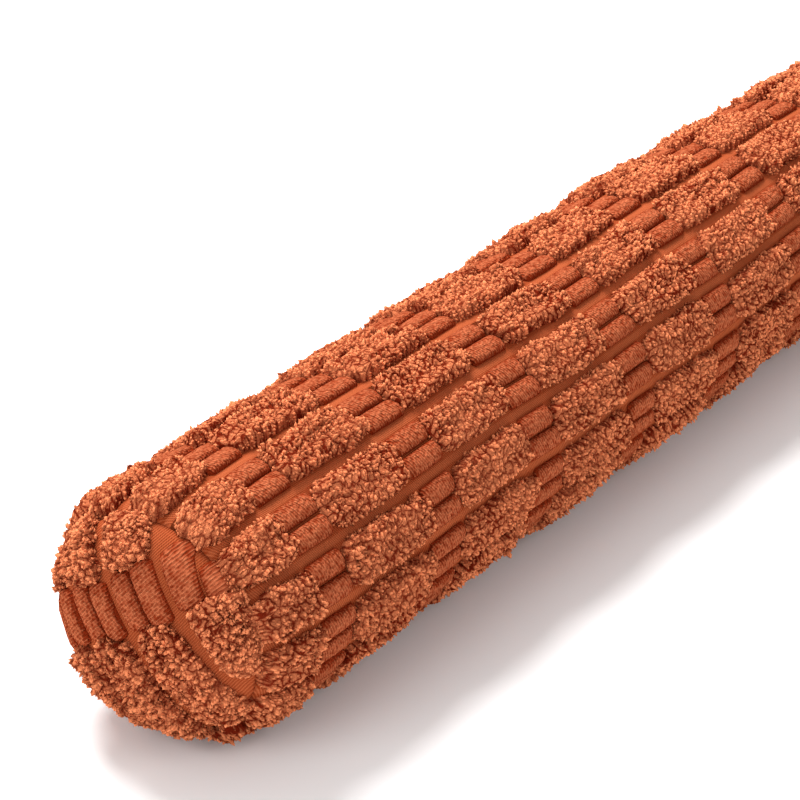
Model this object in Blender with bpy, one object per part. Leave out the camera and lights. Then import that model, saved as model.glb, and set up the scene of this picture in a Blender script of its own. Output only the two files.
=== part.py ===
"""Draught excluder: a long filled tube of ribbed pile cloth, with a domed disc sewn on at each end.

The cloth is a flat knitted ground with rows of cut pile. Along each row a tall tuft, two ribs wide,
alternates with a pair of low ribs. The tube is one length of that cloth rolled about its filling, so
its rows run lengthwise; each end disc is a circle of the same cloth, with its rows slanting across it.

Metres, +X along the tube, +Z up, origin under the middle of the tube on the floor that it lies on.
"""

import math

import bmesh
import bpy
from mathutils import Vector

# Driving dimensions of the filled tube. Its own weight flattens it a little.
LENGTH = 0.900  # over the pile of both end discs
RADIUS_ACROSS = 0.0675  # half the width of its knitted ground
RADIUS_UP = 0.0628  # half the height of its knitted ground
AXIS_HEIGHT = 0.0680
END_DEPTH = 0.0325  # from an end seam to the outermost pile of its disc
SEAM_DRAW = 0.875  # the tube is drawn in to this share of its section at an end seam
DRAW_IN = 0.036  # length over which it narrows towards the seam
DRAW_LINES = (0.22, 0.55)  # shares of that length, where its curve bends
LUMP = 0.0011  # gentle waves of the filling
LUMP_WAVES = ((0.6, 11.0, 2.0, 0.0), (0.4, 23.0, -1.0, 1.3))  # share, radians a metre, turns round, phase

# The pile.
TALL_PILE = 0.0090
LOW_PILE = 0.0035
GROOVE_PILE = 0.0010  # left between the two low ribs of a pair
PAIR_WIDTH = 0.0256  # both ribs of a row, on the ground
END_WALL = 0.0016  # run of cloth over which the pile drops from tall to low
TUFT_LENGTH = 0.0651
PILE_SPREAD = 0.0007  # how far the height of a tuft varies
TUFT_SHIFT = 0.0022  # how far each half of a tuft's end strays along its row
PRESS_LIMIT = 0.0008  # pile that ends closer to the floor than this is pressed flat onto it

# How the pattern lies on the tube.
ROWS = 14
LOW_RUN = 0.0240  # length of the low ribs between two tufts
FIRST_TUFT = -0.4455  # where the tufts nearest the near end begin, cut through by the end seam
FIRST_STRIP = math.radians(-5.1)  # angle from the top of the bare strip that shows highest

# How the pattern lies on an end disc.
DISC_ROWS = 5
DISC_ROW_ANGLE = math.radians(-54.0)  # slope of its rows, seen from outside
DISC_ROW_PITCH = 0.0312
DISC_ROW_SHIFT = -0.0102  # from the disc's centre to the middle of its middle row
DISC_LOW_RUN = 0.0290
DISC_FIRST_TUFT = -0.0986  # begins past the rim, so that only its end shows
DISC_SWELL_LINES = (-0.75, -0.3, 0.25, 0.55, 0.8)  # shares of the disc's radius, for the curve of its dome
DISC_RIM_LINES = (0.93, 0.995)  # shares of a row's half length where its pile curves over the rim
RIM_START = 0.80  # share of the disc's radius from which the seam pulls its pile down
RIM_LOSS = 0.50  # share of its height that the pile has lost at the seam
SEAM_GAP = 0.0003  # between a disc's flat back and the tube's flat end

RUST = (0.515, 0.114, 0.038, 1.0)
PILE_ROUGHNESS = 0.92
SHARP_EDGE = math.radians(50.0)  # steeper edges than this are not shaded smooth
MERGE_DISTANCE = 1e-6

SEAM_X = LENGTH / 2 - END_DEPTH
SEAM_RADIUS = RADIUS_ACROSS * SEAM_DRAW
DISC_DOME = END_DEPTH - SEAM_GAP - TALL_PILE
ROW_ANGLE = 2 * math.pi / ROWS
HALF_PAIR_ANGLE = PAIR_WIDTH / 2 / RADIUS_ACROSS

# Half of a row's section from its middle, which is the groove between its two ribs, to its edge:
# share of half the pair's width, share of a low rib's pile, share of a tuft's pile.
HALF_SECTION = (
    (0.00, GROOVE_PILE / LOW_PILE, 0.96),
    (0.28, 0.92, 1.00),
    (0.88, 0.88, 0.95),
    (1.00, 0.00, 0.00),
)
SECTION = [(-across, low, tall) for across, low, tall in reversed(HALF_SECTION)] + list(HALF_SECTION[1:])
MIDDLE = len(SECTION) // 2


def uneven(row, place, seed):
    """A steady value from -1 to 1 that differs from one tuft to the next: the usual sine hash."""
    wave = math.sin(row * 12.9898 + place * 78.233 + seed * 37.719) * 43758.5453
    return 2 * (wave - math.floor(wave)) - 1


def tuft_lines(first_tuft, low_run, start, end):
    """Lines across the rows where a tuft starts and ends, as (place, tuft, which end of it)."""
    lines = []
    for tuft in range(math.ceil((end - first_tuft) / (TUFT_LENGTH + low_run))):
        tuft_start = first_tuft + tuft * (TUFT_LENGTH + low_run)
        tuft_end = tuft_start + TUFT_LENGTH
        lines += [(tuft_start, tuft, 0), (tuft_start + END_WALL, tuft, 0)]
        lines += [(tuft_end - END_WALL, tuft, 1), (tuft_end, tuft, 1)]
    return [line for line in lines if start < line[0] < end]


def tuft_share(place, first_tuft, low_run):
    """0 among the low ribs, 1 on a tuft, and between the two on the wall at a tuft's end."""
    along = (place - first_tuft) % (TUFT_LENGTH + low_run)
    from_end = min(along, TUFT_LENGTH - along)
    return min(1.0, max(0.0, from_end / END_WALL))


def stray(row, part, tuft, end):
    """How far one point of a tuft's end lies from its true place. Each rib's half strays by itself."""
    if end is None:
        return 0.0
    halves = [TUFT_SHIFT * uneven(2 * row + half, 2 * tuft + end, 2) for half in (0, 1)]
    if part == MIDDLE:
        return sum(halves) / 2
    return halves[0] if part < MIDDLE else halves[1]


def pile_height(part, share, row, line):
    """Pile at one point of a row's section, which goes from a low rib to a tuft as share goes to 1."""
    low, tall = SECTION[part][1:]
    tuft_height = TALL_PILE + PILE_SPREAD * uneven(row, line, 1)
    return (1 - share) * low * LOW_PILE + share * tall * tuft_height


def section_scale(x):
    """The tube's size at x, as a share of its full section: it narrows in a round curve at its ends."""
    inward = min(1.0, (SEAM_X - abs(x)) / DRAW_IN)
    return SEAM_DRAW + (1 - SEAM_DRAW) * math.sqrt(max(0.0, 1 - (1 - inward) ** 2))


def on_tube(x, angle, pile):
    """A point of the tube's ground, or of the pile over it, which is pressed where it meets the floor."""
    inward = min(1.0, (SEAM_X - abs(x)) / DRAW_IN)
    waves = [share * math.sin(along * x + turns * angle + phase) for share, along, turns, phase in LUMP_WAVES]
    lump = LUMP * inward * sum(waves)
    scale = section_scale(x)
    outward = Vector((0.0, math.sin(angle) / RADIUS_ACROSS, math.cos(angle) / RADIUS_UP)).normalized()
    ground = Vector((x, RADIUS_ACROSS * scale * math.sin(angle), RADIUS_UP * scale * math.cos(angle)))
    point = ground + outward * (lump + pile)
    point.z += AXIS_HEIGHT
    if point.z < PRESS_LIMIT:
        point.z = 0.0
    return point


def on_disc(along, across, pile, side):
    """A point of a disc's dome, or of the pile over it. The side is -1 at the near end, 1 at the far."""
    inside = max(0.0, 1 - (along ** 2 + across ** 2) / SEAM_RADIUS ** 2)
    height = DISC_DOME * math.sqrt(inside)
    outward = Vector((along, across, height * (SEAM_RADIUS / DISC_DOME) ** 2))
    outward.normalize()
    along, across, height = Vector((along, across, height)) + outward * pile
    right = along * math.cos(DISC_ROW_ANGLE) - across * math.sin(DISC_ROW_ANGLE)
    up = along * math.sin(DISC_ROW_ANGLE) + across * math.cos(DISC_ROW_ANGLE)
    x = side * (SEAM_X + SEAM_GAP + height)
    return Vector((x, side * right, AXIS_HEIGHT + up * RADIUS_UP / RADIUS_ACROSS))


def rim_share(along, across):
    """Height of the pile at a point of a disc, as a share of its height away from the seam."""
    outward = math.hypot(along, across) / SEAM_RADIUS
    return 1 - RIM_LOSS * max(0.0, outward - RIM_START) / (1 - RIM_START)


def pile_cloth(name):
    """Matt rust-coloured pile cloth."""
    material = bpy.data.materials.new(name)
    material.use_nodes = True
    shader = material.node_tree.nodes["Principled BSDF"]
    shader.inputs["Base Color"].default_value = RUST
    shader.inputs["Roughness"].default_value = PILE_ROUGHNESS
    shader.inputs["Metallic"].default_value = 0.0
    return material


def closed_sheet(name, columns, lines, place, material, collection):
    """An object made from a grid: place(column, line) puts each point, and what stays open is filled."""
    bm = bmesh.new()
    bmesh.ops.create_grid(bm, x_segments=columns - 1, y_segments=lines - 1, size=1.0)
    for vertex in bm.verts:
        column = round((vertex.co.x + 1) / 2 * (columns - 1))
        line = round((vertex.co.y + 1) / 2 * (lines - 1))
        vertex.co = place(column, line)
    bmesh.ops.remove_doubles(bm, verts=bm.verts, dist=MERGE_DISTANCE)
    bmesh.ops.holes_fill(bm, edges=bm.edges, sides=0)
    bmesh.ops.recalc_face_normals(bm, faces=bm.faces)
    mesh = bpy.data.meshes.new(name)
    bm.to_mesh(mesh)
    bm.free()
    mesh.shade_smooth()
    mesh.set_sharp_from_angle(angle=SHARP_EDGE)
    mesh.materials.append(material)
    item = bpy.data.objects.new(name, mesh)
    collection.objects.link(item)
    return item


def filled_tube(material, collection):
    """The lengthwise panel rolled about its filling, flat at both ends, where the discs are sewn on."""
    edge = SEAM_X - END_WALL
    lines = tuft_lines(FIRST_TUFT, LOW_RUN, -edge + END_WALL, edge - END_WALL)
    swell = [SEAM_X - share * DRAW_IN for share in DRAW_LINES]
    lines += [(side * place, 0, None) for side in (-1, 1) for place in [SEAM_X, edge] + swell]
    lines.sort(key=lambda line: line[0])
    columns = ROWS * len(SECTION)

    def place(column, line):
        x, tuft, end = lines[line]
        row, part = divmod(column % columns, len(SECTION))
        share = tuft_share(x, FIRST_TUFT, LOW_RUN)
        pile = pile_height(part, share, row, line) if abs(x) < SEAM_X else 0.0
        angle = FIRST_STRIP + (row + 0.5) * ROW_ANGLE + SECTION[part][0] * HALF_PAIR_ANGLE
        return on_tube(x + stray(row, part, tuft, end), angle, pile)

    return closed_sheet("tube", columns + 1, len(lines), place, material, collection)


def end_disc(name, side, material, collection):
    """A circle of the cloth, domed by the filling, with a flat back on the tube's flat end."""
    lines = tuft_lines(DISC_FIRST_TUFT, DISC_LOW_RUN, -SEAM_RADIUS, SEAM_RADIUS)
    lines += [(share * SEAM_RADIUS, 0, None) for share in DISC_SWELL_LINES]
    lines.sort(key=lambda line: line[0])
    rims = list(DISC_RIM_LINES) + [1.0]
    stations = [-share for share in reversed(rims)] + lines + rims

    def place(column, line):
        row, part = divmod(column, len(SECTION))
        middle = DISC_ROW_SHIFT + (row - (DISC_ROWS - 1) / 2) * DISC_ROW_PITCH
        across = middle + SECTION[part][0] * PAIR_WIDTH / 2
        across = max(-SEAM_RADIUS, min(SEAM_RADIUS, across))
        half_length = math.sqrt(SEAM_RADIUS ** 2 - across ** 2)
        shift = 0.0
        if line < len(rims) or line >= len(rims) + len(lines):
            along = stations[line] * half_length
        else:
            along, tuft, end = stations[line]
            shift = stray(row + ROWS, part, tuft, end)
            limit = rims[0] * half_length
            along = max(-limit, min(limit, along + shift))
        share = tuft_share(along - shift, DISC_FIRST_TUFT, DISC_LOW_RUN)
        pile = pile_height(part, share, row, 0) * rim_share(along, across)
        if line in (0, len(stations) - 1) or half_length == 0:
            pile = 0.0
        return on_disc(along, across, pile, side)

    return closed_sheet(name, DISC_ROWS * len(SECTION), len(stations), place, material, collection)


for leftover in list(bpy.data.objects):
    bpy.data.objects.remove(leftover, do_unlink=True)

excluder = bpy.data.collections.new("draught_excluder")
bpy.context.scene.collection.children.link(excluder)
disc_cloth = pile_cloth("disc_cloth")
filled_tube(pile_cloth("tube_cloth"), excluder)
end_disc("disc_near", -1, disc_cloth, excluder)
end_disc("disc_far", 1, disc_cloth, excluder)
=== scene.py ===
import math

import bpy
from mathutils import Matrix, Vector


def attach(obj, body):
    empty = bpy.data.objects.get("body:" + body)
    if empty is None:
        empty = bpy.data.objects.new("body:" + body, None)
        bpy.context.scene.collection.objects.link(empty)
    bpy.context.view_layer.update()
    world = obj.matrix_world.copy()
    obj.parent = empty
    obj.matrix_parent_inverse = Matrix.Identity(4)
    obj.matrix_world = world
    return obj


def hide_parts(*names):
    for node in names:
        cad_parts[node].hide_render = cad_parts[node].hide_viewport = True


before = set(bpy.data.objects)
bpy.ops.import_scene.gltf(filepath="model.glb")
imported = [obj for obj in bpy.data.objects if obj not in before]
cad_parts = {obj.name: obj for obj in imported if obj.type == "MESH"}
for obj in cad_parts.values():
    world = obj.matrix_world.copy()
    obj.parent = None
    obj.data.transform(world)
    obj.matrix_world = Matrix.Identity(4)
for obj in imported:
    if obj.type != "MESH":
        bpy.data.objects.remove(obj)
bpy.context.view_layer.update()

# THE ROLLED PANEL
# One length of knitted pile cloth, rolled lengthwise about loose filling and closed with a plain seam low
# at the back. Its ground is a flat rust-coloured knit. It shows in the bare strips between the rows of pile.
LENGTH = 0.900
RADIUS_ACROSS = 0.0675  # of the ground, without the pile
RADIUS_UP = 0.0628
AXIS_HEIGHT = 0.0680
END_DEPTH = 0.0325  # from an end seam to the tip of the pile on its domed disc
SEAM_X = LENGTH / 2 - END_DEPTH
SEAM_DRAW = 0.875  # an end seam draws the cloth in to this share of its radius
SEAM_RADIUS = RADIUS_ACROSS * SEAM_DRAW
DRAW_IN = 0.036  # the length over which it is drawn in
LUMP = 0.0011  # how far the cloth swells and sinks over the filling
LUMP_WAVES = ((0.6, 11.0, 2.0, 0.0), (0.4, 23.0, -1.0, 1.3))
WANDER = 0.0015  # how far a row wanders from its straight line
WANDER_WAVES = ((0.55, 16.0, 1.0, 0.4), (0.45, 39.0, -2.0, 2.1))
PRESSED_BELOW = 0.0008  # what would lie lower than this is pressed flat on the floor
PRESSED_SHARE = 0.02  # and keeps this share of its differences in height
OVER_FLOOR = 0.0002  # the lowest that cloth may lie
PAIR_WIDTH = 0.0256  # across a row of pile, which is one tuft or two ribs wide
ROWS = 14
ROW_ANGLE = 2 * math.pi / ROWS
FIRST_STRIP = math.radians(-5.1)  # the first bare strip, from the top towards the back


class Field:
    """A number in a node tree that takes part in plain sums."""

    def __init__(self, socket):
        self.socket = socket

    def math(self, operation, *others):
        return Field(add(self.socket.node.id_data, "ShaderNodeMath", dict(enumerate((self, *others))),
                         operation=operation).outputs[0])

    def __add__(self, other):
        return self.math("ADD", other)

    def __sub__(self, other):
        return self.math("SUBTRACT", other)

    def __rsub__(self, other):
        return (self * -1.0).math("ADD", other)

    def __mul__(self, other):
        return self.math("MULTIPLY", other)

    def __truediv__(self, other):
        return self.math("DIVIDE", other)

    def __rtruediv__(self, other):
        return self.power(-1.0) * other

    __radd__ = __add__
    __rmul__ = __mul__

    def least(self, other):
        return self.math("MINIMUM", other)

    def most(self, other):
        return self.math("MAXIMUM", other)

    def share(self):
        """Held between 0 and 1."""
        return self.most(0.0).least(1.0)

    def sin(self):
        return self.math("SINE")

    def cos(self):
        return self.math("COSINE")

    def size(self):
        return self.math("ABSOLUTE")

    def power(self, other):
        return self.math("POWER", other)


def add(tree, kind, inputs=None, **settings):
    """Adds a node. Its inputs are given by name or number, as a value, a socket or a Field."""
    node = tree.nodes.new(kind)
    for name, value in settings.items():
        setattr(node, name, value)
    for key, value in (inputs or {}).items():
        value = value.socket if isinstance(value, Field) else value
        if isinstance(value, bpy.types.NodeSocket):
            tree.links.new(value, node.inputs[key])
        else:
            node.inputs[key].default_value = value
    return node


def parts_of(tree, vector):
    """The three numbers of a vector."""
    return [Field(socket) for socket in add(tree, "ShaderNodeSeparateXYZ", {0: vector}).outputs]


def vector_of(tree, x, y, z):
    return add(tree, "ShaderNodeCombineXYZ", {0: x, 1: y, 2: z}).outputs[0]


def position(tree):
    return add(tree, "GeometryNodeInputPosition").outputs[0]


def noise_node(tree, scale, detail, place):
    where = {} if place is None else {"Vector": place}
    return add(tree, "ShaderNodeTexNoise", {"Scale": scale, "Detail": detail, **where})


def noise(tree, scale, detail, place=None):
    """Soft noise from 0 to 1. With no place given it follows the points themselves."""
    return Field(noise_node(tree, scale, detail, place).outputs["Fac"])


def new_tree(name, **numbers):
    """A geometry tree with Geometry in and out and a named input for each number, and its first node."""
    tree = bpy.data.node_groups.new(name, "GeometryNodeTree")
    tree.interface.new_socket("Geometry", in_out="INPUT", socket_type="NodeSocketGeometry")
    tree.interface.new_socket("Geometry", in_out="OUTPUT", socket_type="NodeSocketGeometry")
    for number, value in numbers.items():
        socket = tree.interface.new_socket(number, in_out="INPUT", socket_type="NodeSocketFloat")
        socket.default_value = value
    return tree, tree.nodes.new("NodeGroupInput")


def numbers_of(start, *names):
    return [Field(start.outputs[name]) for name in names]


def named(tree, name, kind="FLOAT"):
    """A value that is kept on the points."""
    socket = add(tree, "GeometryNodeInputNamedAttribute", {"Name": name}, data_type=kind).outputs["Attribute"]
    return Field(socket) if kind == "FLOAT" else socket


def keep(tree, geometry, name, value, kind="FLOAT"):
    """Stores a value on the points, for the material or for a later step."""
    return add(tree, "GeometryNodeStoreNamedAttribute", {"Geometry": geometry, "Name": name, "Value": value},
               data_type=kind, domain="POINT").outputs[0]


def keep_place(tree, geometry, name):
    """Stores where the points are now."""
    return keep(tree, geometry, name, position(tree), "FLOAT_VECTOR")


def moved(tree, geometry, **where):
    """Sets the points to a Position, or moves them by an Offset."""
    return add(tree, "GeometryNodeSetPosition", {"Geometry": geometry, **where}).outputs[0]


def fitted(tree, geometry, fit):
    """Rolls or domes flat cloth with the tree that is given."""
    return add(tree, "GeometryNodeGroup", {0: geometry}, node_tree=fit).outputs[0]


def end_tree(tree, geometry, material):
    realized = add(tree, "GeometryNodeRealizeInstances", {0: geometry}).outputs[0]
    painted = add(tree, "GeometryNodeSetMaterial", {"Geometry": realized, "Material": material}).outputs[0]
    add(tree, "NodeGroupOutput", {0: painted})


def settle(item, tree, **numbers):
    """Runs a geometry tree on a piece and keeps what comes out as its plain mesh."""
    modifier = item.modifiers.new(tree.name, "NODES")
    modifier.node_group = tree
    for socket in tree.interface.items_tree:
        if socket.in_out == "INPUT" and socket.name in numbers:
            modifier[socket.identifier] = numbers[socket.name]
    depsgraph = bpy.context.evaluated_depsgraph_get()
    mesh = bpy.data.meshes.new_from_object(item.evaluated_get(depsgraph), depsgraph=depsgraph)
    item.modifiers.remove(modifier)
    item.data = mesh
    mesh.shade_smooth()
    mesh.polygons.foreach_set("material_index", [0] * len(mesh.polygons))
    used = [material for material in mesh.materials if material]
    mesh.materials.clear()
    mesh.materials.append(used[0])


def link(item):
    bpy.context.scene.collection.objects.link(item)
    return item


def flat_sheet(name, places_along, places_across):
    """A flat grid of cloth, x along its rows and y across them, as it is before it is made up."""
    points = [(x, y, 0.0) for x in places_along for y in places_across]
    count = len(places_across)
    faces = [(i * count + j, (i + 1) * count + j, (i + 1) * count + j + 1, i * count + j + 1)
             for i in range(len(places_along) - 1) for j in range(count - 1)]
    mesh = bpy.data.meshes.new(name)
    mesh.from_pydata(points, [], faces)
    return link(bpy.data.objects.new(name, mesh))


def waves(x, angle, kinds):
    """Slow waves over the tube, each given as its share, its pace along and round the tube, and its phase."""
    total = 0.0
    for share, along, turns, phase in kinds:
        total = (x * along + angle * turns + phase).sin() * share + total
    return total


def roll_tree():
    """Rolls flat cloth about the filling: x along the tube, y round it, z out from its ground."""
    tree, start = new_tree("roll_about_filling")
    x, y, pile = parts_of(tree, position(tree))
    angle = y / RADIUS_ACROSS
    angle = waves(x, angle, WANDER_WAVES) * (WANDER / RADIUS_ACROSS) + angle
    inward = ((SEAM_X - x.size()) / DRAW_IN).share()
    scale = (1.0 - (1.0 - inward).power(2.0)).most(0.0).power(0.5) * (1 - SEAM_DRAW) + SEAM_DRAW
    out_y, out_z = angle.sin() / RADIUS_ACROSS, angle.cos() / RADIUS_UP
    out_size = (out_y * out_y + out_z * out_z).power(0.5)
    rise = (waves(x, angle, LUMP_WAVES) * inward * LUMP + pile) / out_size
    side = angle.sin() * scale * RADIUS_ACROSS + out_y * rise
    height = angle.cos() * scale * RADIUS_UP + out_z * rise + AXIS_HEIGHT
    # What would lie below the floor is pressed flat, with a little of its thickness left.
    lowest = (height * PRESSED_SHARE + PRESSED_BELOW).most(OVER_FLOOR)
    rolled = moved(tree, start.outputs[0], Position=vector_of(tree, x, side, height.most(lowest)))
    add(tree, "NodeGroupOutput", {0: rolled})
    return tree


roll = roll_tree()

GROUND_STEP = 0.0042  # from one line of the ground's mesh to the next
EVEN_LINES_END = 0.004  # how far from an end seam its even lines stop
CLOSING_STEP = 0.001  # past an end seam the sheet has two more lines, which close the end
CLOSING_LOSS = 0.035  # the first of them is drawn in by this share, and the second lies on the axis
SEAM_LINES = (-0.002, -0.0007, 0.0, CLOSING_STEP, 2 * CLOSING_STEP)
HALF_STRIP = ROW_ANGLE * RADIUS_ACROSS / 2 - PAIR_WIDTH / 2
STRIP_COLUMNS = (-1.0, -0.6, -0.2, 0.2, 0.6, 1.0)  # across a bare strip, in shares of half its width
UNDER_PILE_COLUMNS = (-0.55, 0.0, 0.55)  # under a row of pile, in shares of half the pair's width
SHADED_FROM = 0.6  # painted shade darkens the ground beside the pile, from this share of half a strip
BACK_SEAM_STRIP = 5  # which bare strip the lengthwise seam lies in, counted from the top towards the back
BACK_SEAM_DEPTH = 0.0016
BACK_SEAM_HALF_WIDTH = 0.0012  # of the groove that the seam makes
GROUND_UNEVENNESS = 0.0005
GROUND_SWELLS = 45.0  # swells of the uneven ground, to the metre
SAME_PLACE = 0.00001  # points that are closer than this are made one


def strip_angle(strip):
    return FIRST_STRIP + strip * ROW_ANGLE


def row_middle(row):
    return strip_angle(row + 0.5) * RADIUS_ACROSS


def ground_columns():
    columns = []
    for row in range(ROWS):
        strip = strip_angle(row) * RADIUS_ACROSS
        columns += [strip + share * HALF_STRIP for share in STRIP_COLUMNS]
        if row == BACK_SEAM_STRIP:
            columns += [strip + share * BACK_SEAM_HALF_WIDTH for share in (-0.5, 0.0, 0.5)]
        columns += [row_middle(row) + share * PAIR_WIDTH / 2 for share in UNDER_PILE_COLUMNS]
    columns.sort()
    # The sheet closes under a row of pile, where its last column meets its first.
    return [columns[-1] - 2 * math.pi * RADIUS_ACROSS] + columns


def ground_lines():
    reach = SEAM_X - EVEN_LINES_END
    count = round(2 * reach / GROUND_STEP)
    lines = [-reach + i * 2 * reach / count for i in range(count + 1)]
    lines += [side * (SEAM_X + step) for side in (-1, 1) for step in SEAM_LINES]
    return sorted(lines)


def merged(tree, geometry):
    return add(tree, "GeometryNodeMergeByDistance", {"Geometry": geometry, "Distance": SAME_PLACE}).outputs[0]


def ground_tree(material):
    tree, start = new_tree("rolled_panel", Unevenness=GROUND_UNEVENNESS, SeamDepth=BACK_SEAM_DEPTH)
    unevenness, seam_depth = numbers_of(start, "Unevenness", "SeamDepth")
    x, y, _ = parts_of(tree, position(tree))
    angle = y / RADIUS_ACROSS
    turn = (angle - FIRST_STRIP) / ROW_ANGLE
    from_strip = (turn - turn.math("ROUND")).size() * ROW_ANGLE * RADIUS_ACROSS / HALF_STRIP
    kept = keep_place(tree, start.outputs[0], "cloth")
    # Painted shade: the ground is painted darker near the edges of each bare strip, beside the pile.
    kept = keep(tree, kept, "painted_shade_beside_pile", ((from_strip - SHADED_FROM) / (1 - SHADED_FROM)).share())
    around = vector_of(tree, x, angle.sin() * RADIUS_ACROSS, angle.cos() * RADIUS_ACROSS)
    swell = noise(tree, GROUND_SWELLS, 1.0, around) - 0.5
    seam = strip_angle(BACK_SEAM_STRIP) * RADIUS_ACROSS
    from_seam = ((y - seam) / BACK_SEAM_HALF_WIDTH).size().least(1.0)
    from_end = ((SEAM_X - x.size()) / DRAW_IN).share()
    level = (swell * unevenness * 2.0 - (1.0 - from_seam) * seam_depth) * from_end
    rolled = fitted(tree, moved(tree, kept, Offset=vector_of(tree, 0.0, 0.0, level)), roll)
    # Past the end seams the cloth turns in, and then closes on the tube's axis.
    along, side, height = parts_of(tree, position(tree))
    beyond = ((along.size() - SEAM_X) / CLOSING_STEP).most(0.0)
    share = (1.0 - beyond * CLOSING_LOSS) * beyond.math("LESS_THAN", 1.5)
    ends = vector_of(tree, along.least(SEAM_X).most(-SEAM_X), side * share,
                     (height - AXIS_HEIGHT) * share + AXIS_HEIGHT)
    end_tree(tree, merged(tree, moved(tree, rolled, Position=ends)), material)
    return tree


KNIT_LINE = 0.00125  # from one line of the knit to the next
KNIT_SLANT = 0.35
KNIT_LOOP = 0.0009  # from one loop of a line to the next
KNIT_WAVERS = 160.0  # wavers of the lines, to the metre
KNIT_PATCHES = 26.0  # patches of a lighter or darker shade, to the metre
KNIT_RELIEF = 0.00025
BESIDE_PILE_PAINTED_SHADE = 0.33  # how much the painted shade beside the pile lowers the shade, from light at 1 to dark at 0
TUBE_KNIT_DARKENING = 0.30
GROUND_DARK = (0.24, 0.034, 0.008, 1.0)
GROUND_LIGHT = (0.48, 0.118, 0.045, 1.0)
CLOTH_ROUGHNESS = 0.92


def pattern_group(name, **inputs):
    """A shader group with inputs of the kinds that are given, which puts out a pattern's Height and Shade."""
    tree = bpy.data.node_groups.new(name, "ShaderNodeTree")
    for title, kind in inputs.items():
        tree.interface.new_socket(title, in_out="INPUT", socket_type="NodeSocket" + kind)
    for title in ("Height", "Shade"):
        tree.interface.new_socket(title, in_out="OUTPUT", socket_type="NodeSocketFloat")
    return tree, tree.nodes.new("NodeGroupInput")


def end_pattern(tree, height, shade):
    add(tree, "NodeGroupOutput", {"Height": height, "Shade": shade})
    return tree


def knit_group():
    """Fine lines of the knit across the strips, and its slow changes of shade."""
    tree, start = pattern_group("knit_lines", Cloth="Vector")
    cloth = start.outputs["Cloth"]
    x, y, _ = parts_of(tree, cloth)
    waver = noise(tree, KNIT_WAVERS, 2.0, cloth)
    lines = ((x + y * KNIT_SLANT) * (2 * math.pi / KNIT_LINE) + waver * 3.0).sin()
    loops = (y * (2 * math.pi / KNIT_LOOP) + waver * 4.0).sin()
    patches = noise(tree, KNIT_PATCHES, 3.0, cloth)
    return end_pattern(tree, lines * 0.5 + loops * 0.2, patches * 0.5 + lines * 0.26 + loops * 0.10 + 0.68)


def fabric(name, dark, light, relief, pattern):
    """A matt cloth. pattern builds its shade, from dark at 0 to light at 1, and its surface's height."""
    material = bpy.data.materials.new(name)
    material.use_nodes = True
    tree = material.node_tree
    shader = tree.nodes["Principled BSDF"]
    shader.inputs["Roughness"].default_value = CLOTH_ROUGHNESS
    shader.inputs["Specular IOR Level"].default_value = 0.0
    shade, height = pattern(tree)
    tint = add(tree, "ShaderNodeMix", {0: shade, 6: dark, 7: light}, data_type="RGBA", clamp_factor=True)
    tree.links.new(tint.outputs[2], shader.inputs["Base Color"])
    bump = add(tree, "ShaderNodeBump", {"Height": height, "Distance": relief, "Strength": 1.0})
    tree.links.new(bump.outputs[0], shader.inputs["Normal"])
    return material


def attribute(tree, name, part="Fac"):
    return add(tree, "ShaderNodeAttribute", attribute_name=name).outputs[part]


knit = knit_group()


def ground_material(name, darkening):
    def pattern(tree):
        lines = add(tree, "ShaderNodeGroup", {"Cloth": attribute(tree, "cloth", "Vector")}, node_tree=knit)
        shade = Field(lines.outputs["Shade"]) - darkening
        # The ground is painted darker beside the pile, as painted shade.
        return shade - Field(attribute(tree, "painted_shade_beside_pile")) * BESIDE_PILE_PAINTED_SHADE, lines.outputs["Height"]

    return fabric(name, GROUND_DARK, GROUND_LIGHT, KNIT_RELIEF, pattern)


def finish_piece(item):
    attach(item, "root")


tube_ground = flat_sheet("tube_ground", ground_lines(), ground_columns())
settle(tube_ground, ground_tree(ground_material("tube_knit", TUBE_KNIT_DARKENING)))
finish_piece(tube_ground)
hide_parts("tube")

# THE LOW RIBS
# Between two tufts of a row the pile is cut short, in a pair of low round ribs with a narrow groove between
# them. They are part of the panel's cloth, and show fine slanting ridges.
LOW_PILE = 0.0042
TUFT_LENGTH = 0.0651
LOW_RUN = 0.0240  # the low ribs' length, from one tuft of a row to the next
FIRST_TUFT = -0.4455  # where a row's first tuft starts
TUFTS = math.ceil((SEAM_X - FIRST_TUFT) / (TUFT_LENGTH + LOW_RUN))
TUFT_SHIFT = 0.0022  # how far each end of a tuft's half may lie off its true place
TUBE_ROW = (FIRST_TUFT, LOW_RUN, TUFTS)
RIB_HALF_WIDTH = PAIR_WIDTH / 4 - 0.0004
UNDER_TUFT = 0.002  # how far a rib runs on under a tuft
SHORTEST_RIB = 0.004
RIB_GRID = (12, 7)  # lines of its mesh along and across it
RIB_BLUNTNESS = (2.1, 1.5)  # of its ends and sides: 1 is a plain arch, and more is squarer
RIB_END_CURVE = 0.08  # how much shorter each end of a rib is at its sides, as a share of its length
RIB_BULGES = 180.0  # bulges along a rib, to the metre
RIB_SINK = 0.0004  # how far a rib goes into the ground


def uneven(row, place, seed):
    """A steady value from -1 to 1 that differs from one tuft to the next: the usual sine hash."""
    wave = math.sin(row * 12.9898 + place * 78.233 + seed * 37.719) * 43758.5453
    return 2 * (wave - math.floor(wave)) - 1


def half_ends(row_plan, tuft, half_row):
    """Where one rib's half of a tuft starts and ends, each a little off its true place."""
    first, low_run, _ = row_plan
    start = first + tuft * (TUFT_LENGTH + low_run)
    ends = (start, start + TUFT_LENGTH)
    return [place + TUFT_SHIFT * uneven(half_row, 2 * tuft + end, 2) for end, place in enumerate(ends)]


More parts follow.
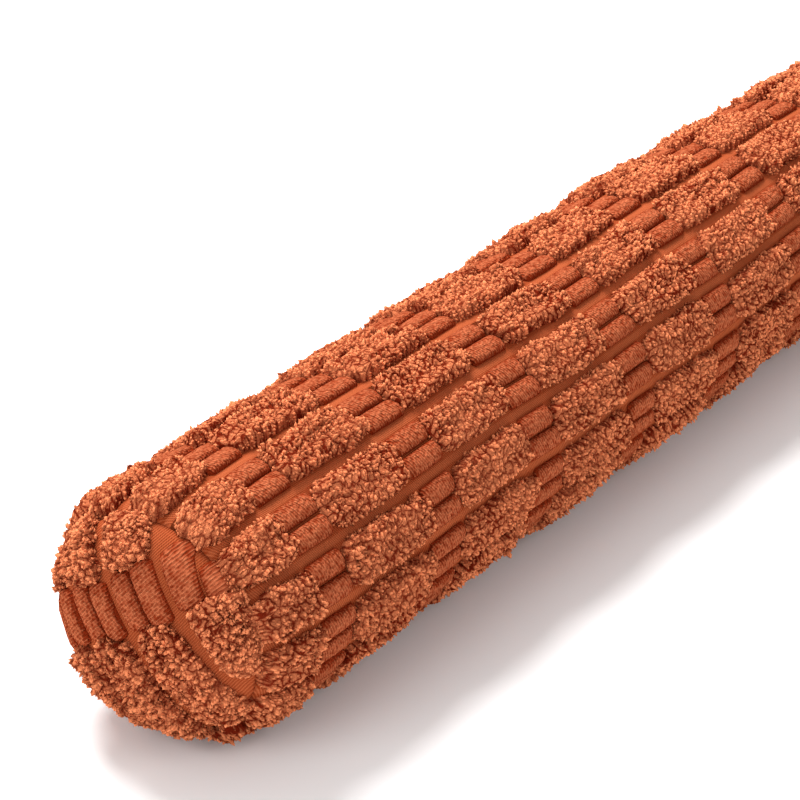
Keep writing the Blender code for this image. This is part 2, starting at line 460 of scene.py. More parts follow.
def marks(name, rows):
    """A mesh of loose points at the origin, one for each tuft or rib, with its measures as attributes."""
    mesh = bpy.data.meshes.new(name)
    mesh.from_pydata([(0.0, 0.0, 0.0)] * len(rows), [], [])
    for title in rows[0]:
        values = mesh.attributes.new(title, "FLOAT", "POINT")
        values.data.foreach_set("value", [row[title] for row in rows])
    return link(bpy.data.objects.new(name, mesh))


def rib_marks(row_plan, row, middle, limits, pair_width=PAIR_WIDTH):
    """The low ribs of one row. limits gives the ends of each half of the row."""
    ribs = []
    for half in (0, 1):
        centre = middle + (half - 0.5) * pair_width / 2
        low, high = limits(centre)
        for tuft in range(-1, row_plan[-1]):
            start = half_ends(row_plan, tuft, 2 * row + half)[1] - UNDER_TUFT
            end = half_ends(row_plan, tuft + 1, 2 * row + half)[0] + UNDER_TUFT
            start, end = max(start, low), min(end, high)
            if end - start > SHORTEST_RIB:
                ribs.append({"start": start, "end": end, "centre": centre})
    return ribs


def rounded(share, bluntness):
    """A grid line's place across a mound and the mound's height there, from -1 to 1: a squared-off arch."""
    turn = share.size() * (math.pi / 2)
    place = turn.sin().power(1 / bluntness) * share.math("SIGN")
    return place, turn.cos().most(0.0).power(1 / bluntness)


def mounds(tree, marked, grid, bluntness):
    """A grid on every mark. It gives the places along it and a mound's height there, then the same across."""
    sheet = add(tree, "GeometryNodeMeshGrid",
                {"Size X": 2.0, "Size Y": 2.0, "Vertices X": grid[0], "Vertices Y": grid[1]})
    sheets = add(tree, "GeometryNodeInstanceOnPoints", {"Points": marked, "Instance": sheet.outputs[0]})
    sheets = add(tree, "GeometryNodeRealizeInstances", {0: sheets.outputs[0]}).outputs[0]
    along, across, _ = parts_of(tree, position(tree))
    return sheets, *rounded(along, bluntness[0]), *rounded(across, bluntness[1])


def rib_tree(name, fit, material, half_width=RIB_HALF_WIDTH):
    tree, start = new_tree(name, HalfWidth=half_width, Pile=LOW_PILE)
    half_width, pile = numbers_of(start, "HalfWidth", "Pile")
    ribs, along, end_height, across, side_height = mounds(tree, start.outputs[0], RIB_GRID, RIB_BLUNTNESS)
    first, last, centre = (named(tree, title) for title in ("start", "end", "centre"))
    x = first + (along * 0.5 + 0.5 - across * across * along * RIB_END_CURVE) * (last - first)
    y = centre + across * half_width
    bulge = noise(tree, RIB_BULGES, 1.0, vector_of(tree, x, y, 0.0))
    z = end_height * side_height * pile * (bulge * 0.3 + 0.87) - RIB_SINK
    shaped = moved(tree, ribs, Position=vector_of(tree, x, y, z))
    end_tree(tree, fitted(tree, keep_place(tree, shaped, "cloth"), fit), material)
    return tree


RIDGE_STEP = 0.0017  # from one slanting ridge to the next
RIDGE_SLANT = 0.3
RIDGE_WAVERS = 330.0  # wavers of the ridges, to the metre
RIDGE_GRAINS = 560.0  # grains of pile, to the metre
RIB_DARK = (0.22, 0.024, 0.006, 1.0)
RIB_LIGHT = (0.69, 0.205, 0.090, 1.0)
PILE_RELIEF = 0.0013


def grain_distance(tree, scale, place):
    """How far a place is from the middle of the nearest grain or curl of yarn."""
    return Field(add(tree, "ShaderNodeTexVoronoi", {"Vector": place, "Scale": scale}).outputs["Distance"])


def short_pile_group():
    """Slanting ridges of short cut pile, broken into grains. Each rib is painted darker towards its foot, as
    painted shade in the groove beside it, and its ridges and grains are a pattern of the pile whose hollows
    carry painted shade.
    """
    tree, start = pattern_group("short_pile", Cloth="Vector", Pile="Float")
    cloth = start.outputs["Cloth"]
    x, y, z = parts_of(tree, cloth)
    waver = noise(tree, RIDGE_WAVERS, 3.0, cloth) - 0.5
    ridges = ((x + y * RIDGE_SLANT) * (2 * math.pi / RIDGE_STEP) + waver * 4.5).sin() * 0.5 + 0.5
    grains = grain_distance(tree, RIDGE_GRAINS, cloth)
    # The hollows of the ridges and grains are painted darker: partly the pile's own pattern, partly painted
    # shade.
    loops = ridges * 0.42 + 0.745 - grains
    # depth is the share of the rib's height. The rib is painted darker towards its foot, as painted shade in
    # the groove.
    depth = (z / Field(start.outputs["Pile"])).share()
    return end_pattern(tree, loops + waver, depth * 0.65 + loops * 0.65 + waver * 0.4 - 0.50)


short_pile = short_pile_group()


def rib_material(name):
    def pattern(tree):
        inputs = {"Cloth": attribute(tree, "cloth", "Vector"), "Pile": LOW_PILE}
        ridges = add(tree, "ShaderNodeGroup", inputs, node_tree=short_pile)
        return ridges.outputs["Shade"], ridges.outputs["Height"]

    return fabric(name, RIB_DARK, RIB_LIGHT, PILE_RELIEF, pattern)


def tube_limits(across):
    """The low ribs of the tube run from one end seam to the other."""
    return -SEAM_X, SEAM_X


tube_ribs = marks("tube_ribs", [rib for row in range(ROWS) for rib in
                                rib_marks(TUBE_ROW, row, row_middle(row), tube_limits)])
settle(tube_ribs, rib_tree("low_ribs_of_tube", roll, rib_material("tube_short_pile")))
finish_piece(tube_ribs)

# THE TALL TUFTS
# Long cut pile, in blocks that are two ribs wide. Its yarn ends curl into soft locks, lean every way and
# spread over the edges of the block. It grows from the panel's ground, and each block has a solid body.
TALL_PILE = 0.0090
TALL_PILE_SPREAD = 0.0007  # how much longer or shorter one tuft's pile may be
SHORTEST_TUFT = 0.006
OVER_END = 0.002  # how far the tufts of the tube reach over its end seams
BODY_GRID = (27, 15)  # lines of its mesh along and across it
BODY_BLUNTNESS = (3.0, 2.0)
BODY_INSET = 0.0007  # how far inside a tuft's edges its body ends
BODY_SINK = 0.0005  # how far bodies and locks go into the ground
CORNER_LOSS = 0.0035  # how much shorter each end of a body is at its corners
END_NARROWING = 0.14  # how much narrower a body is at its ends, as a share of its width
SHORTEST_BODY = 0.0005  # half the length of the shortest one
RAGGED_SCALE = 110.0  # bends of a ragged edge, to the metre
RAGGED_ENDS = 0.009  # from the furthest out to the furthest in
RAGGED_SIDES = 0.006
CLUMP_SCALE = 125.0  # clumps of pile to the metre
CLUMP_EDGE = 0.26  # a clump falls off within this share of its width from its edge
CLUMP_DIP = 0.45  # down to this far below its middle, in shares of a tuft's height
CROWN = 1.20  # the height of its middle, in shares of a tuft's height
LUMP_SCALE = 60.0  # lumps over several clumps, to the metre
LUMPS = 0.6  # from the lowest to the highest, in shares of a tuft's height
DIP_HALF_WIDTH = 0.22  # of the groove along a tuft's middle, in shares of half its width
MIDDLE_DIP = 0.28  # how deep it is, in shares of a tuft's height
KNOT_SCALE = 215.0  # knots of locks to the metre
KNOT_WAVERS = 260.0  # bends of a knot's edge, to the metre
KNOT_WAVER = (0.006, 0.006, 0.0)  # how far it bends, from one side to the other
KNOT_GAP = 0.04  # half the gap between two knots, as a share of a knot's width
KNOT_EDGE = 0.30  # locks stand lower, are smaller and are painted darker, as painted shade, within this share of a knot's width from its edge
KNOT_DROP = 0.0010  # how much lower they stand there
LOCK_LENGTH = 0.0032
LOCK_SPACING = 0.00152
LOCK_RISE = 0.0016  # how far the locks rise over their body
LOCKS_AT_MOST = 1500000.0  # to the square metre
LOCK_FOOT = 0.24  # half a lock's width at its foot, before it is given its proportions
LOCK_SWELL = 0.36  # what is added to that at the ring half way up, where the cone is half as wide
LOCK_REACH = 0.8  # how tall it is, before it is given its proportions
LOCK_RING_LIFT = 0.17  # how much higher than half way its ring lies
LOCK_SUNK = 0.35  # how much of it is inside the body
LOCK_PROPORTIONS = (0.68, 1.2, 1.1)  # across its flat side, across its broad side and along it
LOCK_GROWTH = (0.7, 1.2)  # the smallest and the largest lock, in shares of the usual one
LOCK_AT_EDGE = 0.65  # the size of a lock at its knot's edge
LOCK_GAIN = 0.40  # and how much larger it is inside the knot
LOCK_SHADE_SPREAD = 0.15  # how much the locks of a knot differ in shade
SIDE_HEIGHT = 0.4  # below this share of a tuft's height the locks stand further apart
SIDE_COVER = 0.65  # the share of the locks that stands lowest on a body's sides
FLOOR_COVER = 0.12  # the share that stands where the tube lies on the floor
FLOOR_EDGE, FLOOR_FADE = 0.97, 0.08  # where that starts, by the cosine of the angle from the top
DISC_COVER = 0.65  # the share of the locks that stands in a disc's middle
LEAN_PATCHES = 150.0  # patches of locks that lean one way, to the metre
LEAN_BY_PATCH = (1.6, 1.6, 0.5)  # how much each reason turns a lock along, across and up
LEAN_INTO_KNOT = (-140.0, -140.0, 0.0)  # for each metre from its knot's middle
LEAN_AT_RANDOM = (0.3, 0.3, 0.2)
LEAN_UP = (0.0, 0.0, 0.6)
SWIRL_SCALE = 130.0  # swirls of locks that turn their broad sides one way, to the metre
SWIRL = 12.0  # how far the swirls turn them, in radians
SPIN = 0.5  # and how far each lock may be off that
TONGUE_SCALE = 48.0  # patches of longer or shorter locks, to the metre
TONGUE_SPREAD = 2.4
STRAY_SEED, SHADE_SEED, SPIN_SEED, GROWTH_SEED = 5, 3, 7, 9
CURL_SCALE = 420.0  # curls of the yarn, to the metre
CURL = 0.0026  # how far a tip curls aside
BODY_TIP, BODY_SHADE = 0.30, 0.35  # a body is painted like the lower part of its locks, with their painted shade, where it shows between them
RIM_SPREAD = 0.146  # how much longer a line from a disc's middle to its rim is over the dome than in plan
RIM_SPREAD_POWER = 5.5  # how steeply that rises towards the rim
DISC_PILE_END = 1.04  # locks stand on a disc up to here, in shares of its seam's radius


def tuft_marks(row_plan, row, middle, limits):
    """The tufts of one row. limits gives the ends of each half of the row."""
    found = []
    for tuft in range(row_plan[-1]):
        measures = {"centre": middle, "tall": TALL_PILE + TALL_PILE_SPREAD * uneven(row, tuft, 1)}
        for half, title in enumerate("ab"):
            low, high = limits(middle + (half - 0.5) * PAIR_WIDTH / 2)
            start, end = half_ends(row_plan, tuft, 2 * row + half)
            start, end = max(start, low), min(end, high)
            measures["start_" + title], measures["end_" + title] = start, max(end, start)
        if max(measures["end_" + title] - measures["start_" + title] for title in "ab") > SHORTEST_TUFT:
            found.append(measures)
    return found


def noise_vector(tree, scale, detail, place=None):
    """Three noises, each from 0 to 1."""
    return noise_node(tree, scale, detail, place).outputs["Color"]


def vectors(tree, operation, *inputs):
    return add(tree, "ShaderNodeVectorMath", dict(enumerate(inputs)), operation=operation).outputs[0]


def centred(tree, vector):
    """Noise made to lie about 0."""
    return vectors(tree, "ADD", vector, (-0.5, -0.5, -0.5))


def random_number(tree, low, high, seed):
    return Field(add(tree, "FunctionNodeRandomValue", {2: low, 3: high, "Seed": seed},
                     data_type="FLOAT").outputs[1])


def knots_of_pile(tree, x, y):
    """A place among the knots of locks: how far it is from its knot's edge, and the way from its middle."""
    plan = vector_of(tree, x, y, 0.0)
    wavered = vectors(tree, "MULTIPLY_ADD", noise_vector(tree, KNOT_WAVERS, 1.0, plan), KNOT_WAVER, plan)
    knot = {"Vector": wavered, "Scale": KNOT_SCALE}
    edge = add(tree, "ShaderNodeTexVoronoi", knot, voronoi_dimensions="2D", feature="DISTANCE_TO_EDGE")
    middle = add(tree, "ShaderNodeTexVoronoi", knot, voronoi_dimensions="2D").outputs["Position"]
    return Field(edge.outputs["Distance"]), vectors(tree, "SUBTRACT", wavered, middle)


def tuft_bodies(tree, marked, half_pair, inset, rise):
    """The solid bodies of the tufts, with clumps on top, a dip between the two ribs and ragged edges."""
    blocks, along, end_height, across, side_height = mounds(tree, marked, BODY_GRID, BODY_BLUNTNESS)
    turn = (across * 1.5).most(-1.0).least(1.0) * 0.5 + 0.5
    first, last = (named(tree, end + "_a") + (named(tree, end + "_b") - named(tree, end + "_a")) * turn
                   for end in ("start", "end"))
    half_length = ((last - first) * 0.5 - inset).most(SHORTEST_BODY)
    x = (first + last) * 0.5 + along * (half_length - across.power(4.0) * CORNER_LOSS)
    y = named(tree, "centre") + across * (half_pair - inset) * (1.0 - along.power(8.0) * END_NARROWING)
    ragged_x, ragged_y, _ = parts_of(tree, noise_vector(tree, RAGGED_SCALE, 1.0, vector_of(tree, x, y, 0.0)))
    x = x + (ragged_x - 0.5) * RAGGED_ENDS * along.size()
    y = y + (ragged_y - 0.5) * RAGGED_SIDES * across.size()
    plan = vector_of(tree, x, y, 0.0)
    clump = Field(add(tree, "ShaderNodeTexVoronoi", {"Vector": plan, "Scale": CLUMP_SCALE},
                      feature="DISTANCE_TO_EDGE").outputs["Distance"])
    lumps = noise(tree, LUMP_SCALE, 1.0, plan)
    crown = (clump / CLUMP_EDGE).least(1.0).power(0.8) * CLUMP_DIP + CROWN - CLUMP_DIP + (lumps - 0.5) * LUMPS
    crown = crown - (1.0 - (across / DIP_HALF_WIDTH).size()).most(0.0) * lumps * 2.0 * MIDDLE_DIP
    z = end_height * side_height * (named(tree, "tall") - rise) * crown - BODY_SINK
    return moved(tree, blocks, Position=vector_of(tree, x, y, z))


def one_lock(tree):
    """A short yarn end, widest just over the body, with a blunt tip. Its foot is inside the body."""
    cone = add(tree, "GeometryNodeMeshCone",
               {"Vertices": 4, "Side Segments": 2, "Radius Top": 0.0, "Radius Bottom": 1.0, "Depth": 1.0},
               fill_type="NONE").outputs["Mesh"]
    side, other_side, reach = parts_of(tree, position(tree))
    ring = reach.math("COMPARE", 0.5, 0.1)
    girth = ring * LOCK_SWELL + LOCK_FOOT
    height = reach * LOCK_REACH + ring * LOCK_RING_LIFT - LOCK_SUNK
    # tip is the share of the lock's length: it bends the curl, and the material paints shade at the root with
    # it.
    return moved(tree, keep(tree, cone, "tip", reach),
                 Position=vector_of(tree, side * girth, other_side * girth, height))


def lock_cover(tree, fit, y, z, outward):
    """How close the locks stand on the bodies, from 0 to 1. On a disc they are closer near its rim."""
    cover = (z / (named(tree, "tall") * SIDE_HEIGHT)).most(SIDE_COVER).least(1.0)
    if fit is roll:
        lifted = ((y / RADIUS_ACROSS).cos() + FLOOR_EDGE) / FLOOR_FADE
        return cover * lifted.most(FLOOR_COVER).least(1.0)
    cover = cover * (outward.power(3.0) * (1 - DISC_COVER) + DISC_COVER)
    return cover * outward.math("LESS_THAN", DISC_PILE_END ** 2)


def lock_turn(tree, normal, from_middle):
    """How a lock is turned: out from the body and into its knot, with its patch, and a little at random."""
    patch = centred(tree, noise_vector(tree, LEAN_PATCHES, 1.0))
    stray = add(tree, "FunctionNodeRandomValue", {0: (-1.0,) * 3, 1: (1.0,) * 3, "Seed": STRAY_SEED},
                data_type="FLOAT_VECTOR").outputs[0]
    lean = vectors(tree, "MULTIPLY_ADD", patch, LEAN_BY_PATCH, normal)
    lean = vectors(tree, "MULTIPLY_ADD", from_middle, LEAN_INTO_KNOT, lean)
    lean = vectors(tree, "MULTIPLY_ADD", stray, LEAN_AT_RANDOM, lean)
    leaning = add(tree, "FunctionNodeAlignRotationToVector", {"Vector": vectors(tree, "ADD", lean, LEAN_UP)},
                  axis="Z").outputs[0]
    spin = noise(tree, SWIRL_SCALE, 0.0) * SWIRL + random_number(tree, -SPIN, SPIN, SPIN_SEED)
    return add(tree, "FunctionNodeRotateRotation", {0: leaning, 1: vector_of(tree, 0.0, 0.0, spin)},
               rotation_space="LOCAL").outputs[0]


def tuft_tree(name, fit, material, half_pair=PAIR_WIDTH / 2):
    tree, start = new_tree(name, LockLength=LOCK_LENGTH, LockSpacing=LOCK_SPACING, LockRise=LOCK_RISE,
                           Inset=BODY_INSET, Seed=0.0)
    lock_length, spacing, rise = numbers_of(start, "LockLength", "LockSpacing", "LockRise")
    inset, seed = numbers_of(start, "Inset", "Seed")
    bodies = tuft_bodies(tree, start.outputs[0], half_pair, inset, rise)
    bodies = keep(tree, keep(tree, bodies, "tip", BODY_TIP), "shade", BODY_SHADE)
    bodies = keep_place(tree, bodies, "plan")

    # Flat cloth is drawn out near a disc's rim as it is domed. The locks are scattered with that allowed for.
    x, y, z = parts_of(tree, position(tree))
    outward = (x * x + y * y) * (1 / SEAM_RADIUS ** 2)
    spread = 1.0 if fit is roll else outward.power(RIM_SPREAD_POWER) * RIM_SPREAD + 1.0
    spread_out = moved(tree, keep(tree, bodies, "cover", lock_cover(tree, fit, y, z, outward)),
                       Position=vector_of(tree, x * spread, y * spread, z))
    scattered = add(tree, "GeometryNodeDistributePointsOnFaces",
                    {"Mesh": spread_out, "Distance Min": spacing, "Density Max": LOCKS_AT_MOST,
                     "Density Factor": named(tree, "cover"), "Seed": seed}, distribute_method="POISSON")
    placed = moved(tree, scattered.outputs["Points"], Position=named(tree, "plan", "FLOAT_VECTOR"))

    # Those that would stand between two knots are left out, and those beside them are lower and smaller, and
    # carry painted shade.
    edge, from_middle = knots_of_pile(tree, x * spread, y * spread)
    crowded = (edge / KNOT_EDGE).least(1.0)
    in_gap = edge.math("LESS_THAN", KNOT_GAP)
    knotted = add(tree, "GeometryNodeDeleteGeometry", {"Geometry": placed, "Selection": in_gap},
                  domain="POINT").outputs[0]
    points = moved(tree, knotted, Offset=vector_of(tree, 0.0, 0.0, (crowded - 1.0) * KNOT_DROP))
    # The shade kept on a lock is its own tone, a little at random, with painted shade towards its knot's
    # edge.
    lock_shade = random_number(tree, 0.0, 1.0, SHADE_SEED) * LOCK_SHADE_SPREAD
    points = keep(tree, points, "shade", lock_shade + crowded * (1 - LOCK_SHADE_SPREAD))
    points = keep_place(tree, points, "root")
    size = random_number(tree, *LOCK_GROWTH, GROWTH_SEED) * (crowded * LOCK_GAIN + LOCK_AT_EDGE) * lock_length
    flat, broad, long = (size * proportion for proportion in LOCK_PROPORTIONS)
    tongues = (noise(tree, TONGUE_SCALE, 0.0) - 0.5) * TONGUE_SPREAD + 1.0
    locks = add(tree, "GeometryNodeInstanceOnPoints",
                {"Points": points, "Instance": one_lock(tree),
                 "Rotation": lock_turn(tree, scattered.outputs["Normal"], from_middle),
                 "Scale": vector_of(tree, flat, broad, long * tongues)}).outputs[0]
    locks = add(tree, "GeometryNodeRealizeInstances", {0: locks}).outputs[0]
    curl = add(tree, "ShaderNodeVectorMath",
               {0: centred(tree, noise_vector(tree, CURL_SCALE, 0.0)),
                "Scale": named(tree, "tip").power(2.0) * CURL}, operation="SCALE").outputs[0]
    locks = moved(tree, locks, Offset=curl)
    aside = vectors(tree, "SUBTRACT", position(tree), named(tree, "root", "FLOAT_VECTOR"))
    locks = keep(tree, locks, "aside", aside, "FLOAT_VECTOR")

    joined = add(tree, "GeometryNodeJoinGeometry")
    for part in (locks, bodies):
        tree.links.new(part, joined.inputs[0])
    level = moved(tree, joined.outputs[0], Position=vector_of(tree, x, y, z.most(-BODY_SINK)))
    level = keep(tree, level, "cloth", vector_of(tree, x * spread, y * spread, z), "FLOAT_VECTOR")
    end_tree(tree, fitted(tree, level, fit), material)
    return tree


PILE_PATCHES = 60.0  # patches of a lighter or darker shade, to the metre
FIBRES = 1500.0  # fibres and small curls of the yarn, to the metre
CURLS = 700.0
GAP_PATCHES = 16.0  # patches where the painted shade in the gaps between knots is deeper or lighter, to the metre
GAP_DEPTHS = (0.75, 1.15)  # the least and the most
GAP_EDGE = 0.22  # the gaps are painted dark, as painted shade, within this share of a knot's width from its edge
PAINTED_TIP = 0.65  # below this share of its length a lock is painted darker towards its root, as painted shade
# The dark end is reached in the painted shade of roots and of the gaps between knots.
TUFT_DARK = (0.15, 0.013, 0.004, 1.0)
TUFT_LIGHT = (0.95, 0.297, 0.126, 1.0)
TUBE_GAP_PAINTED_SHADE = 1.0  # how deep the painted shade in the gaps between the knots is


def long_pile_group():
    """Yarn ends lighter than their roots, with painted shade at the roots, at the edges of small curls and in
    the gaps between knots, each lock a little different and slow changes of shade.
    """
    tree, start = pattern_group("long_pile", Tip="Float", Lock="Float", Cloth="Vector", Gap="Float")
    tip, lock, gap = numbers_of(start, "Tip", "Lock", "Gap")
    x, y, _ = parts_of(tree, start.outputs["Cloth"])
    place = add(tree, "ShaderNodeTexCoord").outputs["Object"]
    patches, fibres = noise(tree, PILE_PATCHES, 2.0, place), noise(tree, FIBRES, 2.0, place)
    curls = grain_distance(tree, CURLS, place)
    depth = (noise(tree, GAP_PATCHES, 2.0, place) * 2.4 - 0.4).most(GAP_DEPTHS[0]).least(GAP_DEPTHS[1])
    # Painted shade in the gaps between the knots.
    gap = (1.0 - (knots_of_pile(tree, x, y)[0] / GAP_EDGE).least(1.0)) * gap * depth
    # Painted shade: the roots below PAINTED_TIP and the edges of the small curls are darker.
    shade = tip.least(PAINTED_TIP) * 0.60 + lock * 0.56 + patches * 0.5 + fibres * 0.25 - curls * 0.15
    return end_pattern(tree, fibres * 0.8 - curls * 0.6, shade - gap * 0.64 - 0.19)


long_pile = long_pile_group()


def tuft_material(name, gap):
    def pattern(tree):
        inputs = {"Tip": attribute(tree, "tip"), "Lock": attribute(tree, "shade"),
                  "Cloth": attribute(tree, "cloth", "Vector"), "Gap": gap}
        locks = add(tree, "ShaderNodeGroup", inputs, node_tree=long_pile)
        return locks.outputs["Shade"], locks.outputs["Height"]

    return fabric(name, TUFT_DARK, TUFT_LIGHT, PILE_RELIEF, pattern)


def tube_tuft_limits(across):
    """The tufts of the tube lie a little over its end seams."""
    return -SEAM_X - OVER_END, SEAM_X + OVER_END


# The tufts are in five meshes, of two or three rows each, because one would have too many triangles.
tube_tufts = tuft_tree("tall_tufts_of_tube", roll, tuft_material("tube_long_pile", TUBE_GAP_PAINTED_SHADE))
for part, rows in enumerate(((0, 1, 2), (3, 4, 5), (6, 7, 8), (9, 10, 11), (12, 13))):
    tufts = marks(f"tube_tufts_{part + 1}", [tuft for row in rows for tuft in
                                             tuft_marks(TUBE_ROW, row, row_middle(row), tube_tuft_limits)])
    settle(tufts, tube_tufts, Seed=float(part))
    finish_piece(tufts)

# THE END DISCS
# A circle of the same cloth is sewn into each end of the tube and domed by the filling. Its rows slant across
# it. The far end, which is cut off in the photograph, is finished like the near one.
SEAM_GAP = 0.0003  # between the end of the tube's ground and that of a disc
DISC_DOME = END_DEPTH - SEAM_GAP - TALL_PILE
DISC_ROWS = 5
DISC_ROW_ANGLE = math.radians(-54.0)
DISC_ROW_PITCH = 0.0312
DISC_ROW_SHIFT = -0.0102
DISC_LOW_RUN = 0.0290
DISC_FIRST_TUFT = -0.0986
DISC_TUFTS = 2
DISC_ROW = (DISC_FIRST_TUFT, DISC_LOW_RUN, DISC_TUFTS)
DISC_PAIR_WIDTH = 0.0280
DISC_RIB_HALF_WIDTH = DISC_PAIR_WIDTH / 4 - 0.0003
DISC_TUFT_HALF_WIDTH = DISC_PAIR_WIDTH / 2 - 0.0018
DISC_LOCK_SPACING = 0.00100
DISC_LOCK_LENGTH = 0.0037
DISC_SEED = 20.0  # the seeds of the discs' locks are one less and one more than this
# The disc's knit is painted darker than the tube's: painted shade on its ground between the tufts, which
# takes more light than the tube's strips.
DISC_KNIT_DARKENING_WITH_PAINTED_SHADE = 0.50
# how deep the painted shade in the gaps between the disc's knots is
DISC_GAP_PAINTED_SHADE = 0.9
DISC_RINGS = 16
DISC_SPOKES = 96
DISC_BACK_RING = 0.96  # the ring behind the rim, where the disc's back starts, in shares of the seam's radius
RIM_START = 0.80  # the pile stands lower from here out to the rim
RIM_LOSS = 0.35
RIM_LOSS_END = 1.3
OVER_SEAM = 0.6  # how far a disc's tuft reaches over the seam, as a share of how far it lies past the rim
PAST_RIM = 1.05  # a tuft at the rim ends here, in shares of a rib's length
JUST_OUTSIDE = 0.001  # a row's half this far outside the rim still counts as touching it
JUST_INSIDE = 0.004
DISC_OVER_FLOOR = 0.0006


def dome_tree(name, side):
    """Domes flat cloth over an end of the filling: x along its rows, y across them, z out from its ground."""
    tree, start = new_tree(name)
    along, across, pile = parts_of(tree, position(tree))
    # A lock keeps its own shape. Its root alone is domed, and what lies aside of that turns with the dome.
    aside_along, aside_across, _ = parts_of(tree, named(tree, "aside", "FLOAT_VECTOR"))
    along, across = along - aside_along, across - aside_across
    outward = (along * along + across * across).power(0.5) / SEAM_RADIUS
    within = (1.0 / outward.most(0.0001)).least(1.0)
    along, across = along * within, across * within
    height = (1.0 - outward * outward).most(0.0).power(0.5) * (1.0 - named(tree, "back")) * DISC_DOME
    past_rim = (outward - 1.0).most(0.0) * SEAM_RADIUS * OVER_SEAM
    steep = height * (SEAM_RADIUS / DISC_DOME) ** 2
    size = (along * along + across * across + steep * steep).power(0.5).most(0.00001)
    lowered = ((outward - RIM_START) / (1 - RIM_START)).most(0.0).least(RIM_LOSS_END) * RIM_LOSS
    rise = pile * (1.0 - lowered) / size
    aside_out = along * aside_along + across * aside_across
    turned = (1.0 - steep / size) * aside_out / (along * along + across * across).most(0.000001)
    height = height + steep * rise - aside_out / size
    stretch = rise + 1.0 - turned
    along, across = along * stretch + aside_along, across * stretch + aside_across
    right = along * math.cos(DISC_ROW_ANGLE) - across * math.sin(DISC_ROW_ANGLE)
    up = along * math.sin(DISC_ROW_ANGLE) + across * math.cos(DISC_ROW_ANGLE)
    z = (up * (RADIUS_UP / RADIUS_ACROSS) + AXIS_HEIGHT).most(DISC_OVER_FLOOR)
    place = vector_of(tree, (height - past_rim + SEAM_X + SEAM_GAP) * side, right * side, z)
    add(tree, "NodeGroupOutput", {0: moved(tree, start.outputs[0], Position=place)})
    return tree


def disc_ground(name, fit, material):
    """The disc's ground: a domed front of rings and spokes, and a flat back that closes it."""
    rings = [SEAM_RADIUS * math.sin(math.pi / 2 * i / DISC_RINGS) for i in range(DISC_RINGS + 1)]
    spokes = [2 * math.pi * i / DISC_SPOKES for i in range(DISC_SPOKES + 1)]
    item = flat_sheet(name, rings + [SEAM_RADIUS * DISC_BACK_RING, 0.0], spokes)
    front = len(rings) * len(spokes)
    back = item.data.attributes.new("back", "FLOAT", "POINT")
    back.data.foreach_set("value", [float(i >= front) for i in range(len(item.data.vertices))])
    for vertex in item.data.vertices:
        radius, turn, _ = vertex.co
        vertex.co = (radius * math.cos(turn), radius * math.sin(turn), 0.0)
    tree, start = new_tree(name + "_dome")
    domed = fitted(tree, keep_place(tree, start.outputs[0], "cloth"), fit)
    end_tree(tree, merged(tree, domed), material)
    settle(item, tree)
    return item


def disc_middle(row):
    return DISC_ROW_SHIFT + (row - (DISC_ROWS - 1) / 2) * DISC_ROW_PITCH


def disc_limits(across):
    """The ends of a row's half. One that just touches the rim is as long as one just inside it."""
    if abs(across) > SEAM_RADIUS + JUST_OUTSIDE:
        return 0.0, 0.0
    half_length = math.sqrt(SEAM_RADIUS ** 2 - min(abs(across), SEAM_RADIUS - JUST_INSIDE) ** 2)
    return -half_length, half_length


def disc_tuft_limits(across):
    """The tall pile lies over the seam."""
    return tuple(end * PAST_RIM for end in disc_limits(across))


# The disc's knit carries more painted shade than the tube's.
disc_knit_with_painted_shade = ground_material("disc_knit_with_painted_shade", DISC_KNIT_DARKENING_WITH_PAINTED_SHADE)
disc_short_pile = rib_material("disc_short_pile")
disc_long_pile = tuft_material("disc_long_pile", DISC_GAP_PAINTED_SHADE)
for end, side in (("near", -1), ("far", 1)):
    dome = dome_tree(end + "_dome", side)
    ground = disc_ground(f"{end}_disc_ground", dome, disc_knit_with_painted_shade)
    ribs = marks(f"{end}_disc_ribs", [rib for row in range(DISC_ROWS) for rib in
                                      rib_marks(DISC_ROW, row + ROWS, disc_middle(row), disc_limits,
                                                DISC_PAIR_WIDTH)])
    settle(ribs, rib_tree(f"low_ribs_of_{end}_disc", dome, disc_short_pile, DISC_RIB_HALF_WIDTH))
    tufts = marks(f"{end}_disc_tufts", [tuft for row in range(DISC_ROWS) for tuft in
                                        tuft_marks(DISC_ROW, row + ROWS, disc_middle(row), disc_tuft_limits)])
    settle(tufts, tuft_tree(f"tall_tufts_of_{end}_disc", dome, disc_long_pile, DISC_TUFT_HALF_WIDTH),
           Seed=DISC_SEED + side, LockSpacing=DISC_LOCK_SPACING, LockLength=DISC_LOCK_LENGTH)
    for item in (ground, ribs, tufts):
        finish_piece(item)
    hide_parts("disc_" + end)

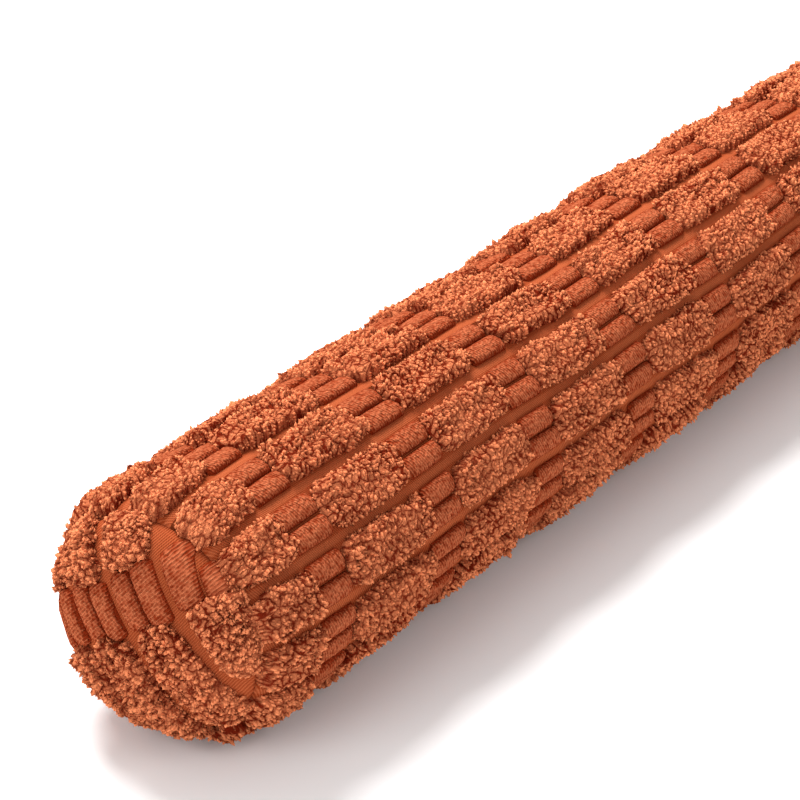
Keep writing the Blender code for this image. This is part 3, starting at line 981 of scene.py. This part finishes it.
# THE STUDIO
# None of this is part of the draught excluder. It lies on a pale floor, in soft light from above and behind,
# with weaker light from the left and from the right.
FLOOR_HALF_WIDTH = 15.0
FLOOR_HEIGHT = -0.0005
FLOOR_COLOUR = (0.93, 0.93, 0.93, 1.0)
FLOOR_ROUGHNESS = 0.9
ROOM_COLOUR = (1.0, 1.0, 1.0, 1.0)
ROOM_STRENGTH = 0.57
PANELS = (  # each light's name, place, aim, size and watts
    ("panel_above", (0.3, 1.1, 2.2), (0.0, 0.0, 0.05), 1.3, 107.0),
    ("panel_left", (-2.4, 0.2, 1.3), (-0.3, 0.0, 0.05), 1.6, 23.0),
    ("panel_right", (-0.4, -2.2, 1.6), (0.0, 0.0, 0.05), 1.6, 15.0),
)
CAMERA_PLACE = (-1.3129, -0.8015, 0.8357)
CAMERA_YAW = math.radians(36.402)
CAMERA_PITCH = math.radians(-28.434)
CAMERA_LENS = 133.81


def aimed(item, place, direction):
    """Sets a light or the camera in its place, looking along a direction."""
    item.location = place
    item.rotation_euler = direction.to_track_quat("-Z", "Y").to_euler()
    return link(item)


def soft_light(name, place, aim, size, watts):
    lamp = bpy.data.lights.new(name, "AREA")
    lamp.shape, lamp.size, lamp.energy = "DISK", size, watts
    aimed(bpy.data.objects.new(name, lamp), place, Vector(aim) - Vector(place))


floor = flat_sheet("floor", (-FLOOR_HALF_WIDTH, FLOOR_HALF_WIDTH), (-FLOOR_HALF_WIDTH, FLOOR_HALF_WIDTH))
floor.data.transform(Matrix.Translation((0.0, 0.0, FLOOR_HEIGHT)))
pale_floor = bpy.data.materials.new("pale_floor")
pale_floor.use_nodes = True
floor_shader = pale_floor.node_tree.nodes["Principled BSDF"]
floor_shader.inputs["Base Color"].default_value = FLOOR_COLOUR
floor_shader.inputs["Roughness"].default_value = FLOOR_ROUGHNESS
floor.data.materials.append(pale_floor)

world = bpy.data.worlds.new("soft_room")
bpy.context.scene.world = world
world.use_nodes = True
background = world.node_tree.nodes["Background"]
background.inputs["Color"].default_value = ROOM_COLOUR
background.inputs["Strength"].default_value = ROOM_STRENGTH
for panel in PANELS:
    soft_light(*panel)

camera = bpy.data.objects.new("camera", bpy.data.cameras.new("camera"))
camera.data.lens = CAMERA_LENS
level_part = math.cos(CAMERA_PITCH)
aimed(camera, CAMERA_PLACE, Vector((level_part * math.cos(CAMERA_YAW), level_part * math.sin(CAMERA_YAW),
                                    math.sin(CAMERA_PITCH))))
bpy.context.scene.camera = camera
bpy.context.scene.view_settings.view_transform = "Standard"

bpy.context.view_layer.update()
